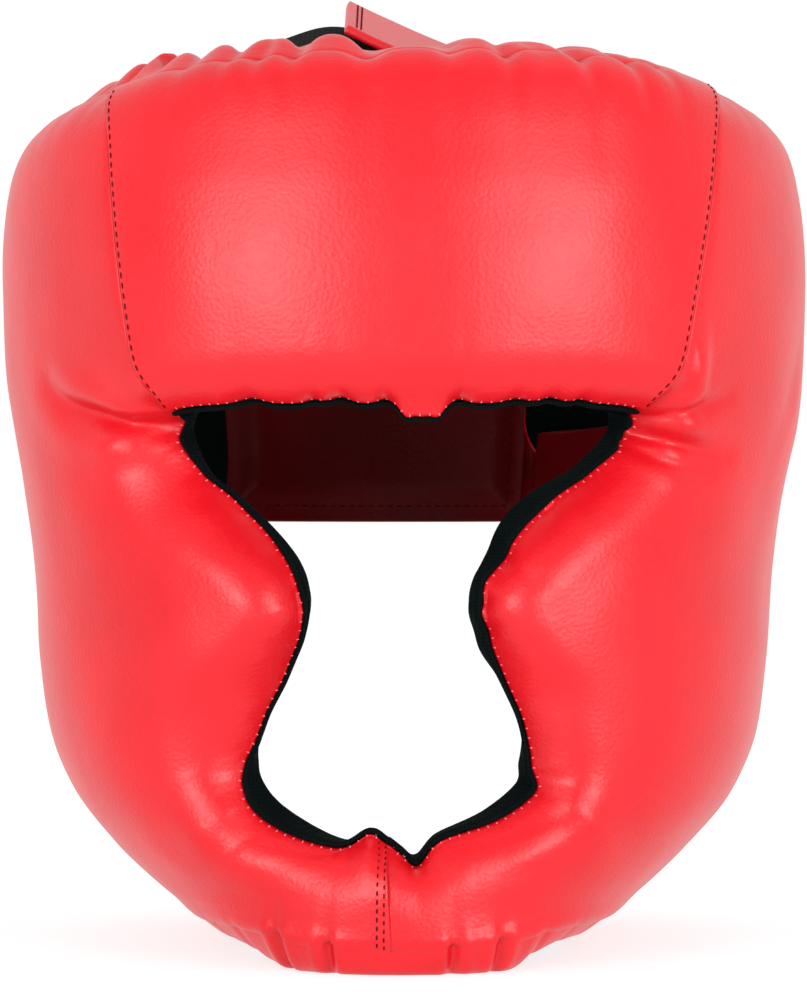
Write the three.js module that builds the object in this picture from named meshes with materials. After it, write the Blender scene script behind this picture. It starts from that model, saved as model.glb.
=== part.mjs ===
// Padded sparring headgear: a forehead pad and two side pads that run down the cheeks and meet at the chin,
// a black lining with a black binding round the face opening, gathered strips along the top and the bottom,
// a back panel with its strap, and a flap and a strap that close over the crown.
// Millimetres, +Z up. The face looks along -Y. Left and right are the wearer's, so left is +X.
import * as THREE from "three";
import { mergeVertices } from "three/addons/utils/BufferGeometryUtils.js";

const { lerp, smoothstep, degToRad, clamp } = THREE.MathUtils;

// Driving dimensions
const GAP = 0.4; // clearance between neighbouring pieces
const SEAM_GAP = 0.7; // half the space in a sewn seam
const BAND_GAP = 1; // between a pad's wall and the band over it
const PAD = 26; // foam and leather over the forehead, temples and cheeks
const PAD_LOW = 12; // at the lower edge under the jaw
const PAD_REAR = 17; // at the rear edge
const LEATHER = 2; // strips and straps
const CLOTH = 1.6; // lining and binding
const SQUARE = 0.15; // how much squarer than an ellipse the plan is
const FLOOR = 0;

// Plan of the outer surface at each height: half its width, and how far it reaches to the front and the rear.
const SECTIONS = [
  { z: -6, half: 46, front: 104, rear: 82 },
  { z: 0, half: 53, front: 106, rear: 86 },
  { z: 6, half: 60, front: 107.5, rear: 89 },
  { z: 16, half: 71.5, front: 109.5, rear: 94 },
  { z: 26, half: 82, front: 110.8, rear: 98 },
  { z: 38, half: 90.5, front: 111.5, rear: 102 },
  { z: 52, half: 95.7, front: 112, rear: 105 },
  { z: 72, half: 98, front: 112.5, rear: 108 },
  { z: 96, half: 99.3, front: 113, rear: 110 },
  { z: 120, half: 102.5, front: 113.5, rear: 112 },
  { z: 146, half: 106.6, front: 115, rear: 113 },
  { z: 172, half: 108.2, front: 117, rear: 113.5 },
  { z: 192, half: 107.5, front: 116.5, rear: 112.5 },
  { z: 204, half: 105.4, front: 114.5, rear: 110 },
  { z: 212, half: 103.4, front: 113, rear: 107 },
  { z: 219, half: 99.5, front: 110.5, rear: 103 },
  { z: 226, half: 94, front: 107.5, rear: 98 },
  { z: 234, half: 86, front: 103, rear: 92 },
];

// Front edge of a side pad, bottom to top: the chin seam, the face opening, the forehead seam.
// half is measured from the middle of the opening, which lies shift to the left of the head's middle.
const FRONT_EDGE = [
  { z: 3, half: 0, shift: -4.6 },
  { z: 12, half: 0, shift: -4.6 },
  { z: 21, half: 0, shift: -4.6 },
  { z: 28.5, half: 0, shift: -4.6 },
  { z: 30, half: 8, shift: -4 },
  { z: 32.5, half: 17, shift: -4 },
  { z: 36.5, half: 26.5, shift: -4 },
  { z: 41.5, half: 33.5, shift: -3.6 },
  { z: 47.5, half: 36.5, shift: -3.6 },
  { z: 54, half: 35.2, shift: -3.2 },
  { z: 62, half: 32, shift: -2.6 },
  { z: 71, half: 27.6, shift: -2.2 },
  { z: 80, half: 23.8, shift: -2.4 },
  { z: 89, half: 22.2, shift: -2.6 },
  { z: 97, half: 24.8, shift: -2.6 },
  { z: 104.5, half: 28.6, shift: -2.8 },
  { z: 112, half: 35, shift: -2.8 },
  { z: 120, half: 44.5, shift: -2.2 },
  { z: 127, half: 53.3, shift: -1 },
  { z: 132.5, half: 57, shift: 0 },
  { z: 136.5, half: 60, shift: 0.5 },
  { z: 141.5, half: 66, shift: 1 },
  { z: 150, half: 69.3, shift: 1.2 },
  { z: 162, half: 71.3, shift: 1.4 },
  { z: 177, half: 73.4, shift: 1.8 },
  { z: 192, half: 75.3, shift: 2.2 },
  { z: 206, half: 76.5, shift: 2.4 },
  { z: 220, half: 76.8, shift: 2.5 },
];
const LAST_ROW = FRONT_EDGE.length - 1;
const MOUTH_ROW = 3; // where the chin seam ends in the mouth opening
const EYE_ROW = 20; // where the opening's outer corner meets the forehead seam

// Steps of a pad round the head, up the forehead seam and through its thickness
const SIDE_STEPS = 10;
const FOREHEAD_STEPS = 10;
const SEAM_STEPS = LAST_ROW - EYE_ROW;
const WALL_STEPS = 3;
const FOLD_STEPS = 4; // of a fold's line
const STRAP_STEPS = 3; // of a strap between two rows of its table, and across it
const FRONT_BIAS = 1.2; // sets a side pad's steps closer together towards its front edge

// Rear edge of a side pad: the angle round the head, from the face, at each height.
const REAR_EDGE = [
  { z: 2, angle: 119 },
  { z: 16, angle: 120 },
  { z: 40, angle: 126 },
  { z: 70, angle: 133 },
  { z: 100, angle: 140 },
  { z: 125, angle: 144 },
  { z: 206, angle: 146 },
];

// How each edge of a pad is finished: how far the outer face drops there, over what distance,
// how far the edge keeps back for its neighbour, and how far its wall swells.
const FINISH = {
  chin: { drop: 3, round: 9, inset: SEAM_GAP, swell: 0 },
  opening: { drop: 9, round: 16, inset: CLOTH + BAND_GAP, swell: 2 },
  seam: { drop: 3, round: 8, inset: SEAM_GAP, swell: 0 },
  top: { drop: 6, round: 14, inset: LEATHER + BAND_GAP, swell: 6 },
  bottom: { drop: 5, round: 14, inset: LEATHER + BAND_GAP, swell: 7 },
  rear: { drop: 8, round: 16, inset: GAP, swell: 1 },
};

// Folds of the leather: lines that sink into it, seen from the front, with how wide and how deep they are.
const FOLDS = [
  { name: "right_temple", fromX: -62, fromZ: 133, toX: -92, toZ: 139, width: 9, depth: 4 },
  { name: "left_temple", fromX: 60, fromZ: 134, toX: 84, toZ: 137, width: 8, depth: 4 },
  { name: "left_under_eye", fromX: 60, fromZ: 131, toX: 91, toZ: 121, width: 9, depth: 3.5 },
  { name: "right_cheek", fromX: -30, fromZ: 92, toX: -46, toZ: 80, width: 9, depth: 3 },
  { name: "right_jaw", fromX: -44, fromZ: 33, toX: -40, toZ: 18, width: 9, depth: 3 },
  { name: "left_jaw", fromX: 36, fromZ: 36, toX: 42, toZ: 22, width: 9, depth: 3 },
];

// Where a side pad thins out: under the jaw, by height and angle, and over the last of its way to the rear
const THIN = { fromZ: 62, overZ: 54, fromAngle: 25, toAngle: 75, rearFrom: 0.7 };

// Heights over which the way through the padding turns level, near the floor and at the top edge
const LEVEL = { floorTo: 30, topFrom: 180, topTo: 212 };

const BROW_RISE = 3; // the brow's middle over the eye corners
const RIM_RISE = 8.5; // the top edge's middle over the tops of the forehead seams

// How far a binding keeps short of its ends: in rows of the front edge, and as a share of the brow
const BINDING_TRIM = { chin: 0.15, eye: 0.6, brow: 0.04 };

// Back panel: its heights, the depths of its two faces, its free end, and its turn clear of the pad
const BACK = { low: 108, high: 196, outer: 9, inner: 17, endAngle: 160, hemAngle: 1.2, steps: [14, 6, 1] };
const BACK_STRAP = { low: 104, high: 132, thick: 2.2 };
const BACK_STRAP_PATH = [
  { angle: 119, depth: 31 },
  { angle: 132, depth: 27 },
  { angle: 144, depth: 23.5 },
  { angle: 152, depth: 17 },
  { angle: 160, depth: 7 },
  { angle: 172, depth: 5 },
  { angle: 186, depth: 5 },
  { angle: 198, depth: 5 },
];

// Crown pieces: the height of their middle line at each distance from the middle of the head.
// They tilt only where they lie flat enough, by the upward part of their direction.
const FLAT = { from: 0.2, to: 0.8 };
const CROWN_FLAP = { width: 46, thick: 2.4, y: -6, tilt: 14 };
const CROWN_FLAP_LINE = [
  { x: -71, z: 196 },
  { x: -69, z: 211 },
  { x: -58, z: 226 },
  { x: -44, z: 236 },
  { x: -30, z: 241 },
  { x: -18, z: 242 },
  { x: -2, z: 239 },
  { x: 14, z: 233.5 },
];
const CROWN_STRAP = { width: 38, thick: 2.6, y: -4, tilt: 17 };
const CROWN_STRAP_LINE = [
  { x: -17, z: 247.5 },
  { x: -6, z: 244.5 },
  { x: 10, z: 239.5 },
  { x: 28, z: 233 },
  { x: 46, z: 225.5 },
  { x: 60, z: 218 },
  { x: 69, z: 209 },
  { x: 71, z: 196 },
];

const RED = new THREE.MeshStandardMaterial({ color: 0xe8192c, roughness: 0.45, metalness: 0 });
const BLACK = new THREE.MeshStandardMaterial({ color: 0x0b0e0e, roughness: 0.9, metalness: 0 });

// A column of a table at any place along its key column: a smooth curve through the rows.
function column(table, key, name, at) {
  const last = table.length - 1;
  const place = clamp(at, table[0][key], table[last][key]);
  const found = table.findIndex((row) => row[key] >= place);
  const i = clamp(found - 1, 0, last - 1);
  const slope = (k) => {
    const [before, after] = [table[Math.max(k - 1, 0)], table[Math.min(k + 1, last)]];
    return (after[name] - before[name]) / (after[key] - before[key]);
  };
  const [low, high] = [table[i], table[i + 1]];
  const span = high[key] - low[key];
  const t = (place - low[key]) / span;
  const [square, cube] = [t ** 2, t ** 3];
  const hermite = [2 * cube - 3 * square + 1, cube - 2 * square + t, 3 * square - 2 * cube, cube - square];
  const terms = [low[name], slope(i) * span, high[name], slope(i + 1) * span];
  return terms.reduce((sum, term, k) => sum + term * hermite[k], 0);
}

// A point of the outer surface, by its angle round the head from the face and its height.
function shell({ angle, z }) {
  const [sin, cos] = [Math.sin(angle), Math.cos(angle)];
  const reach = column(SECTIONS, "z", cos > 0 ? "front" : "rear", z);
  const half = column(SECTIONS, "z", "half", z);
  return new THREE.Vector3(half * sin, -reach * cos * (1 + SQUARE * sin * sin), z);
}

function shellNormal({ angle, z }) {
  const [turn, rise] = [0.002, 0.2];
  const round = shell({ angle: angle + turn, z }).sub(shell({ angle: angle - turn, z }));
  const up = shell({ angle, z: z + rise }).sub(shell({ angle, z: z - rise }));
  return round.cross(up).normalize();
}

// The way through the padding: square to the surface, and level near the floor and at the top edge.
function through(place) {
  const normal = shellNormal(place);
  const nearTop = smoothstep(place.z, LEVEL.topFrom, LEVEL.topTo);
  normal.z *= smoothstep(place.z, FLOOR, LEVEL.floorTo) * (1 - nearTop);
  return normal.normalize();
}

// The outer surface moved inwards by a depth.
function layer(place, depth) {
  return shell(place).addScaledVector(through(place), -depth);
}

// The angle at which the outer surface is x from the middle.
function angleAt(x, z) {
  return Math.asin(x / column(SECTIONS, "z", "half", z));
}

function rearAngle(z) {
  return degToRad(column(REAR_EDGE, "z", "angle", z));
}

// The front edge of the side pad on one side, by its row; side is +1 on the left and -1 on the right.
function frontEdge(row, side) {
  const low = FRONT_EDGE[Math.floor(clamp(row, 0, LAST_ROW))];
  const high = FRONT_EDGE[Math.ceil(clamp(row, 0, LAST_ROW))];
  const t = row - Math.floor(row);
  const z = lerp(low.z, high.z, t);
  return { angle: angleAt(side * lerp(low.half, high.half, t) + lerp(low.shift, high.shift, t), z), z };
}

// A side pad's places: u runs round the head from right to left, v from the bottom to the top.
function sidePanel(side) {
  const fromFront = (u) => (side > 0 ? u : 1 - u);
  const rearLow = REAR_EDGE[0].z;
  const rearHigh = REAR_EDGE[REAR_EDGE.length - 1].z;
  const at = (u, v) => {
    const front = frontEdge(v * LAST_ROW, side);
    const rearZ = lerp(rearLow, rearHigh, v);
    const t = fromFront(u) ** FRONT_BIAS;
    return { angle: lerp(front.angle, side * rearAngle(rearZ), t), z: lerp(front.z, rearZ, t) };
  };
  const thickness = (u, v) => {
    const { angle, z } = at(u, v);
    const under = smoothstep(THIN.fromZ - z, 0, THIN.overZ);
    const low = under * smoothstep(Math.abs(angle), degToRad(THIN.fromAngle), degToRad(THIN.toAngle));
    const rear = smoothstep(fromFront(u), THIN.rearFrom, 1);
    return Math.min(lerp(PAD, PAD_LOW, low), lerp(PAD, PAD_REAR, rear));
  };
  const frontKind = (v) => {
    const row = v * LAST_ROW;
    if (row < MOUTH_ROW - 0.5) return "chin";
    return row > EYE_ROW + 0.5 ? "seam" : "opening";
  };
  const [frontU, rearU] = [fromFront(0), fromFront(1)];
  const upright = (u, from, to) => range(from, to).map((row) => shell(at(u, row / LAST_ROW)));
  const across = (v) => range(0, SIDE_STEPS).map((k) => shell(at(k / SIDE_STEPS, v)));
  const lines = [
    ["chin", upright(frontU, 0, MOUTH_ROW)],
    ["opening", upright(frontU, MOUTH_ROW, EYE_ROW)],
    ["seam", upright(frontU, EYE_ROW, LAST_ROW)],
    ["top", across(1)],
    ["bottom", across(0)],
    ["rear", upright(rearU, 0, LAST_ROW)],
  ];
  const kindOf = { v0: () => "bottom", v1: () => "top" };
  kindOf["u" + frontU] = frontKind;
  kindOf["u" + rearU] = () => "rear";
  return { at, thickness, lines, kindOf, frontU };
}

// The forehead pad's places: u runs from the right seam to the left one, v from the brow to the top.
function foreheadPanel() {
  const at = (u, v) => {
    const row = lerp(EYE_ROW, LAST_ROW, v);
    const [right, left] = [frontEdge(row, -1), frontEdge(row, 1)];
    const bow = 1 - Math.abs(2 * u - 1) ** 3;
    return { angle: lerp(right.angle, left.angle, u), z: right.z + lerp(BROW_RISE, RIM_RISE, v) * bow };
  };
  const thickness = () => PAD;
  const across = (v) => range(0, FOREHEAD_STEPS).map((k) => shell(at(k / FOREHEAD_STEPS, v)));
  const upright = (u) => range(0, SEAM_STEPS).map((k) => shell(at(u, k / SEAM_STEPS)));
  const lines = [
    ["seam", upright(0)],
    ["seam", upright(1)],
    ["top", across(1)],
    ["opening", across(0)],
  ];
  const kindOf = { u0: () => "seam", u1: () => "seam", v0: () => "opening", v1: () => "top" };
  return { at, thickness, lines, kindOf };
}

function range(from, to) {
  return Array.from({ length: to - from + 1 }, (_, k) => from + k);
}

function distanceTo(line, point) {
  const nearest = new THREE.Vector3();
  const lengths = line.slice(1).map((end, k) => {
    new THREE.Line3(line[k], end).closestPointToPoint(point, true, nearest);
    return nearest.distanceTo(point);
  });
  return Math.min(...lengths);
}

// How far the outer face lies under the full surface, from its roll-off to the nearest edges.
function dropAt(panel, point) {
  const drops = panel.lines.map(([kind, line]) => {
    const { drop, round } = FINISH[kind];
    const away = clamp(1 - distanceTo(line, point) / round, 0, 1);
    return drop * (1 - Math.sqrt(1 - away * away));
  });
  const folds = FOLDS.map((fold) => {
    const away = distanceTo(foldLine(fold), point) / fold.width;
    return fold.depth * Math.exp(-(away ** 2));
  });
  return Math.max(...drops, ...folds);
}

// The line of a fold on the outer surface.
function foldLine({ fromX, fromZ, toX, toZ }) {
  return range(0, FOLD_STEPS).map((k) => {
    const t = k / FOLD_STEPS;
    const [x, z] = [lerp(fromX, toX, t), lerp(fromZ, toZ, t)];
    return shell({ angle: angleAt(x, z), z });
  });
}

// The direction in the surface that leads out over an edge: on along the panel's uprights at the top
// and the bottom, and square to the edge at the sides.
function outward(panel, u, v, edge) {
  const step = 0.01;
  const back = edge[1] === "1" ? -step : step;
  const point = (du, dv) => shell(panel.at(u + du, clamp(v + dv, 0, 1)));
  if (edge[0] === "v") return point(0, 0).sub(point(0, back)).normalize();
  const along = point(0, step).sub(point(0, -step));
  const out = point(0, 0).sub(point(back, 0));
  return out.addScaledVector(along, -out.dot(along) / along.lengthSq()).normalize();
}

// The edges that a place of a panel lies on.
function edgesAt(u, v) {
  const near = 1e-6;
  const tests = { u0: u < near, u1: u > 1 - near, v0: v < near, v1: v > 1 - near };
  return Object.keys(tests).filter((edge) => tests[edge]);
}

// A point of a pad: t runs through its thickness from the leather to the lining.
// band asks for the point of a band over the pad's wall: its edge, how far it stands proud,
// and its lift off the floor.
function padPoint(panel, u, v, t, band = { edge: "", proud: 0, lift: LEATHER + BAND_GAP }) {
  const place = panel.at(u, v);
  const depth = lerp(dropAt(panel, shell(place)), panel.thickness(u, v), t);
  const point = layer(place, depth);
  for (const edge of edgesAt(u, v)) {
    const { inset, swell } = FINISH[panel.kindOf[edge](v)];
    const proud = edge === band.edge ? band.proud : 0;
    point.addScaledVector(outward(panel, u, v, edge), 4 * swell * t * (1 - t) - inset + proud);
  }
  point.z = Math.max(point.z, FLOOR + band.lift);
  return point;
}

// A closed solid: a box of unit sides bent to shape, with nu, nv and nt steps along its sides.
function bent([nu, nv, nt], map) {
  const box = new THREE.BoxGeometry(1, 1, 1, nu, nv, nt);
  const place = box.getAttribute("position");
  for (let i = 0; i < place.count; i++) {
    const point = map(place.getX(i) + 0.5, place.getY(i) + 0.5, place.getZ(i) + 0.5);
    place.setXYZ(i, point.x, point.y, point.z);
  }
  box.deleteAttribute("normal");
  box.deleteAttribute("uv");
  return facingOut(mergeVertices(box, 1e-4));
}

// The same geometry with its faces turned outwards.
function facingOut(geometry) {
  const place = geometry.getAttribute("position");
  const corners = geometry.index.array;
  const vertex = (k) => new THREE.Vector3().fromBufferAttribute(place, corners[k]);
  let volume = 0;
  for (let k = 0; k < corners.length; k += 3) {
    volume += vertex(k).dot(vertex(k + 1).cross(vertex(k + 2)));
  }
  if (volume < 0) {
    for (let k = 0; k < corners.length; k += 3) {
      [corners[k + 1], corners[k + 2]] = [corners[k + 2], corners[k + 1]];
    }
  }
  geometry.computeVertexNormals();
  return geometry;
}

function pad(panel, nu, nv) {
  return bent([nu, nv, WALL_STEPS], (u, v, t) => padPoint(panel, u, v, t));
}

// Lining: a cloth wall against the inner face of a pad.
function lining(panel, nu, nv) {
  return bent([nu, nv, 1], (u, v, w) => {
    return padPoint(panel, u, v, 1).addScaledVector(through(panel.at(u, v)), -(GAP + (1 - w) * CLOTH));
  });
}

// A band that covers the wall of an edge; route gives the panel and its place for each step along the band.
function edgeBand(edge, steps, thick, route) {
  const onU = edge[0] === "u";
  return bent(onU ? [1, steps, WALL_STEPS] : [steps, 1, WALL_STEPS], (x, y, t) => {
    const { panel, u, v } = route(onU ? y : x);
    const w = onU ? x : y;
    const out = edge[1] === "1" ? 1 - w : w;
    return padPoint(panel, u, v, t, { edge, proud: BAND_GAP + out * thick, lift: (1 - out) * thick });
  });
}

// Binding round the face opening on one side, from the chin seam to the eye corner
function faceBinding(panel) {
  const [first, last] = [MOUTH_ROW + BINDING_TRIM.chin, EYE_ROW - BINDING_TRIM.eye];
  const row = (s) => clamp(lerp(MOUTH_ROW, EYE_ROW, s), first, last);
  const route = (s) => ({ panel, u: panel.frontU, v: row(s) / LAST_ROW });
  return edgeBand("u" + panel.frontU, EYE_ROW - MOUTH_ROW, CLOTH, route);
}

function browBinding(panel) {
  const route = (s) => ({ panel, u: lerp(BINDING_TRIM.brow, 1 - BINDING_TRIM.brow, s), v: 0 });
  return edgeBand("v0", FOREHEAD_STEPS, CLOTH, route);
}

// Gathered strip along the top, from the rear edge of the right pad to the rear edge of the left one
function topStrip(right, forehead, left) {
  const route = (s) => {
    const stretch = 3 * s;
    if (stretch < 1) return { panel: right, u: stretch, v: 1 };
    if (stretch <= 2) return { panel: forehead, u: stretch - 1, v: 1 };
    return { panel: left, u: stretch - 2, v: 1 };
  };
  return edgeBand("v1", 3 * SIDE_STEPS, LEATHER, route);
}

// Strip along the bottom, round the chin, flattened where it rests
function bottomStrip(right, left) {
  const route = (s) => (s < 0.5 ? { panel: right, u: 2 * s, v: 0 } : { panel: left, u: 2 * s - 1, v: 0 });
  return edgeBand("v0", 2 * SIDE_STEPS, LEATHER, route);
}

// Back panel: sewn to the rear edge of the right pad, with its free end near the left one
function backPanel() {
  return bent(BACK.steps, (s, v, w) => {
    const z = lerp(BACK.low, BACK.high, v);
    const start = rearAngle(z) + degToRad(BACK.hemAngle);
    const angle = lerp(-start, degToRad(BACK.endAngle) - 2 * Math.PI, s);
    return layer({ angle, z }, lerp(BACK.outer, BACK.inner, w));
  });
}

// Back strap: from inside the left pad, out through the gap, and over the outside of the back panel
function backStrap() {
  const last = BACK_STRAP_PATH.length - 1;
  const rows = BACK_STRAP_PATH.map((row, k) => ({ ...row, k: k / last }));
  return bent([STRAP_STEPS * last, 2, 1], (s, v, w) => {
    const z = lerp(BACK_STRAP.low, BACK_STRAP.high, v);
    const angle = degToRad(column(rows, "k", "angle", s));
    return layer({ angle, z }, column(rows, "k", "depth", s) - w * BACK_STRAP.thick);
  });
}

// A crown piece: a flat strap along a line of heights, tilted down to the front
function crownPiece({ width, thick, y, tilt }, line) {
  const last = line.length - 1;
  const rows = line.map((row, k) => ({ ...row, k: k / last }));
  const middle = (s) => new THREE.Vector3(column(rows, "k", "x", s), y, column(rows, "k", "z", s));
  const tiltAxis = new THREE.Vector3(1, 0, 0);
  const step = 0.02;
  return bent([STRAP_STEPS * last, STRAP_STEPS, 1], (s, v, w) => {
    const along = middle(Math.min(s + step, 1)).sub(middle(Math.max(s - step, 0)));
    const up = new THREE.Vector3(-along.z, 0, along.x).normalize();
    const level = smoothstep(Math.abs(up.z), FLAT.from, FLAT.to);
    const across = new THREE.Vector3(0, 1, 0).applyAxisAngle(tiltAxis, degToRad(tilt) * level);
    return middle(s).addScaledVector(up, (w - 0.5) * thick).addScaledVector(across, (v - 0.5) * width);
  });
}

function piece(name, geometry, material) {
  const mesh = new THREE.Mesh(geometry, material);
  mesh.name = name;
  return mesh;
}

const left = sidePanel(1);
const right = sidePanel(-1);
const forehead = foreheadPanel();

const headgear = new THREE.Group();
headgear.name = "headgear";
headgear.add(
  piece("forehead_pad", pad(forehead, FOREHEAD_STEPS, SEAM_STEPS), RED),
  piece("side_pad_left", pad(left, SIDE_STEPS, LAST_ROW), RED),
  piece("side_pad_right", pad(right, SIDE_STEPS, LAST_ROW), RED),
  piece("forehead_lining", lining(forehead, FOREHEAD_STEPS, SEAM_STEPS), BLACK),
  piece("side_lining_left", lining(left, SIDE_STEPS, LAST_ROW), BLACK),
  piece("side_lining_right", lining(right, SIDE_STEPS, LAST_ROW), BLACK),
  piece("brow_binding", browBinding(forehead), BLACK),
  piece("face_binding_left", faceBinding(left), BLACK),
  piece("face_binding_right", faceBinding(right), BLACK),
  piece("top_strip", topStrip(right, forehead, left), RED),
  piece("bottom_strip", bottomStrip(right, left), RED),
  piece("back_panel", backPanel(), RED),
  piece("back_strap", backStrap(), RED),
  piece("crown_flap", crownPiece(CROWN_FLAP, CROWN_FLAP_LINE), BLACK),
  piece("crown_strap", crownPiece(CROWN_STRAP, CROWN_STRAP_LINE), RED),
);

// The origin is under the middle of the whole piece, on the floor.
const box = new THREE.Box3().setFromObject(headgear);
const middle = box.getCenter(new THREE.Vector3());
headgear.children.forEach((mesh) => mesh.position.set(-middle.x, -middle.y, -box.min.z));

export default headgear;
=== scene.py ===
import math
import random

import bmesh
import bpy
import numpy as np
from mathutils import Matrix, Vector, noise


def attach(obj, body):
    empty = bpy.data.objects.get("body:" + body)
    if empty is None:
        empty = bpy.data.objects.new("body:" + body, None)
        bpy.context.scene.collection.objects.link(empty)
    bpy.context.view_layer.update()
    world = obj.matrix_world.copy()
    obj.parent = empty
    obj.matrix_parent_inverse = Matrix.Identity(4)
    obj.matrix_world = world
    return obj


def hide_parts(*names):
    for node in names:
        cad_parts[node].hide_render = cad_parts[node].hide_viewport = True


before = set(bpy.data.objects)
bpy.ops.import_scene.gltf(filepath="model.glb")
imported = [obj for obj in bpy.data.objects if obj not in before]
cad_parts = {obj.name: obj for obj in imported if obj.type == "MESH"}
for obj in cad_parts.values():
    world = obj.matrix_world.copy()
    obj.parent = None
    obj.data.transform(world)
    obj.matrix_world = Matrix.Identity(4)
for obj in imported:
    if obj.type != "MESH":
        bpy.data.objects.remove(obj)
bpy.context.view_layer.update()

# A padded sparring headgear in red leather with a black lining, standing empty on its lower edge.
# The tables are in millimetres, with the face towards -Y and the wearer's left at +X.
# The scene is in metres.
MM = 0.001
SHIFT = np.array([-0.0605, 3.5773, 1.5])  # from the tables' middle to the frame's origin
FLOOR = -SHIFT[2]  # the height of the floor in the tables
LEFT, RIGHT = 1, -1
SIDE_NAME = {LEFT: "left", RIGHT: "right"}


def table(columns, *rows):
    return dict(zip(columns.split(), np.array(rows, float).T))


# Plan of the outer surface at each height: half its width, and how far it reaches to the front and the rear
SECTIONS = table(
    "z half front rear",
    (-6, 43, 105, 82),
    (0, 49, 106.5, 86),
    (6, 56, 107.8, 89),
    (16, 68, 109.5, 94),
    (26, 79, 110.8, 98),
    (38, 89.3, 111.5, 102),
    (52, 95.2, 112, 105),
    (72, 97.5, 112.5, 108),
    (96, 98.7, 113, 110),
    (120, 101.9, 114.6, 112),
    (146, 105.9, 116.4, 113),
    (172, 107.5, 116.6, 113.5),
    (192, 106.8, 115.2, 112.5),
    (204, 105, 113.2, 110),
    (212, 103, 111.6, 107),
    (219, 99.5, 109.4, 103),
    (226, 94, 106.5, 98),
    (234, 86, 102, 92),
)
SQUARE, SQUARE_LOW = 0.15, 0.3  # how much squarer than an ellipse the plan is, and at the floor
SQUARE_TO = 16  # the height up to which it changes
# Heights over which the way through the padding turns level, near the floor and at the top edge
LEVEL_FLOOR, LEVEL_TOP = (0, 30), (180, 212)

# Front edges of the two side pads from the mouth up: round the face opening, then up the forehead seams
FRONT_EDGE = table(
    "left_x left_z right_x right_z",
    (-4.6, 30.5, -4.6, 30.5),
    (3.6, 26.7, -10, 32.8),
    (11.5, 31.2, -20, 28.6),
    (28, 35.4, -40, 32.8),
    (38.4, 41.4, -47.4, 41.2),
    (37.8, 47.5, -47.8, 47.5),
    (37, 53, -45.4, 53),
    (34.2, 62, -41.4, 62),
    (28.8, 72, -34.4, 72),
    (23.8, 81.5, -29.4, 81.5),
    (21, 90, -27.9, 90),
    (25.6, 98, -32, 98),
    (33.2, 106, -39.8, 106),
    (43.4, 114, -50.8, 114),
    (54.7, 120, -61.2, 120),
    (63.3, 126, -66.4, 126),
    (68, 131, -68.6, 131),
    (66.4, 136, -65, 135.6),
    (67, 141.5, -65, 141.5),
    (70.5, 150, -68.1, 150),
    (72.7, 162, -69.9, 162),
    (75.2, 177, -71.6, 177),
    (77.5, 192, -73.1, 192),
    (79.4, 207.5, -74.6, 206.5),
    (81.8, 223, -76.4, 221.2),
)
EYE_ROW = 17  # where the opening's outer corner meets the forehead seam
TOP_ROW = 24

# Which row of the front edge each share v of a side pad's way from the chin seam to the top starts from
ROWS = table("v row", (0, 0), (0.36, 5.5), (0.76, EYE_ROW), (1, TOP_ROW))
JAW_SHARE = 0.36  # where the lower edge turns up into the rear edge
EYE_SHARE = 0.76

# Lower edge of a side pad, by the angle from the chin seam to the rear
BOTTOM_EDGE = table("angle z", (0, 4.2), (15, 4.4), (30, 5.8), (42, 7.5), (60, 7), (85, 4.5), (119, 2.5))
# Rear edge of a side pad: the angle round the head at each height
REAR_EDGE = table(
    "z right left",
    (2, 119, 119),
    (16, 120, 120),
    (40, 126, 126),
    (70, 133, 133),
    (100, 140, 141),
    (125, 144, 152),
    (131, 144.3, 155.5),
    (138, 144.5, 157),
    (206, 146, 156.4),
)

PAD = 26  # foam and leather over the forehead, temples and cheeks
PAD_LOW = 12  # at the lower edge under the jaw
PAD_REAR = 17  # at the rear edge
# Where a side pad thins out: under the jaw, by height and angle, and towards its rear edge
JAW_TOP, JAW_DEPTH = 62, 54
JAW_ANGLES = np.radians((25, 75))
REAR_THINNING = 60
FRONT_BIAS = 1.25  # sets a side pad's steps closer together towards its front edge
# How far the brow and the top edge rise in their middle, and how squarely they bend down to the seams
BROW_RISE, BROW_BEND = 2, 8
RIM_RISE, RIM_BEND = 5.6, 3

# How each edge of a pad is finished: how far the leather drops there and over what distance, how much it
# crowns, how far the edge keeps back for its neighbour, and how far its wall swells and leans back
EDGE_MEASURES = "drop over crown inset swell lean".split()
FINISH = {
    "chin": (0.5, 3, 0, -0.12, 0, 0),
    "opening": (8, 16, 2, 0.9, 0.5, 2.6),
    "seam": (0.5, 3.5, 0, -0.1, 0, 0),
    "top": (4, 12, 1, 1.2, 0.6, -1.8),
    "shoulder": (7, 19, 1, 1.2, 0.8, -2.4),
    "bottom": (1.6, 7, 0, 0.6, 0, 0),
    "rear": (8, 16, 0, 0.4, 1, 0),
}
CROWN_REACH = 42  # how far from an edge a pad is crowned
INSET_FADE, LEAN_FADE = 8, 16  # how far from an edge these reach
ROLL_POWER = 2.5  # how suddenly the leather drops near an edge
CORNER_POWER = 5  # how sharply the drops to two edges meet
WALL_POWER = 6  # how square a swollen wall is
PAD_LIFT = 1.6  # how far the pads stay off the floor
LUMPS = ((0.7, 34, 1), (0.1, 13, 2))  # height, size and seed of the leather's unevenness
SLACK_EDGES = 0.2, 0.15  # over what share of u and v a slack pad sinks in from its edges
NEAR = 1e-6
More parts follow.
